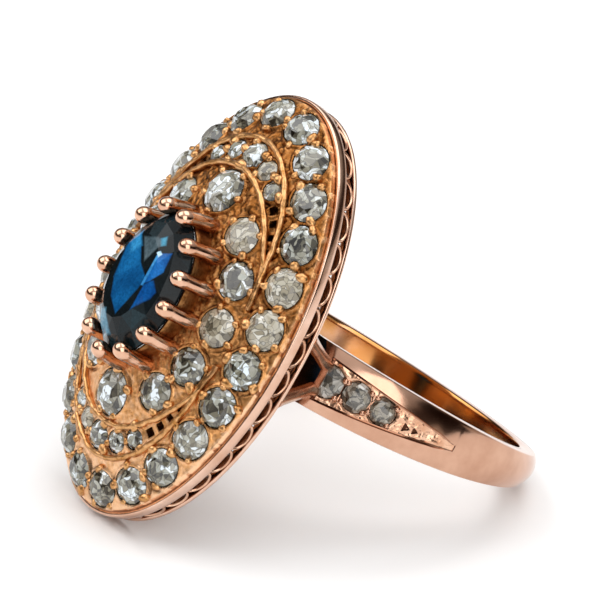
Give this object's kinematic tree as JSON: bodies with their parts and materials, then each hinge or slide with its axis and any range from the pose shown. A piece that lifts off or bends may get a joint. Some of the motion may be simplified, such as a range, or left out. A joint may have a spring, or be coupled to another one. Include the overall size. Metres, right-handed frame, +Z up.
{
  "type": "navette ring",
  "caption": "Navette ring with a domed oval head of pave-set diamonds round a claw-set oval sapphire, on a pierced gallery and a tapering stone-set shank.",
  "frame": {"origin": "middle of the finger hole, on its axis", "axes": "the ring lies on its side: +Z up from the surface, +X across the finger, the head faces -Y and the finger's axis leans back from +Z towards +Y"},
  "size_m": [0.019, 0.0244, 0.0201],
  "materials": {
    "rose_gold": "polished",
    "sapphire": "polished, faceted",
    "diamond": "polished, old cut",
    "rose_cut_diamond": "polished, rose cut, greyish"
  },
  "bodies": {
    "root": {"mount": "rose_gold", "sapphire": "sapphire", "outer_diamonds": "diamond", "inner_diamond_1": "diamond", "inner_diamond_2": "diamond", "inner_diamond_3": "diamond", "inner_diamond_4": "diamond", "inner_diamond_5": "diamond", "inner_diamond_6": "diamond", "inner_diamond_7": "diamond", "inner_diamond_8": "diamond", "inner_diamond_9": "diamond", "inner_diamond_10": "diamond", "inner_diamond_11": "diamond", "inner_diamond_12": "diamond", "crescent_diamond_1": "diamond", "crescent_diamond_2": "diamond", "crescent_diamond_3": "diamond", "crescent_diamond_4": "diamond", "crescent_diamond_5": "diamond", "crescent_diamond_6": "diamond", "crescent_diamond_7": "diamond", "crescent_diamond_8": "diamond", "crescent_diamond_9": "diamond", "crescent_diamond_10": "diamond", "shoulder_diamond_1": "rose_cut_diamond", "shoulder_diamond_2": "rose_cut_diamond", "shoulder_diamond_3": "rose_cut_diamond", "shoulder_diamond_4": "rose_cut_diamond", "shoulder_diamond_5": "rose_cut_diamond", "shoulder_diamond_6": "rose_cut_diamond"}
  },
  "joints": []
}
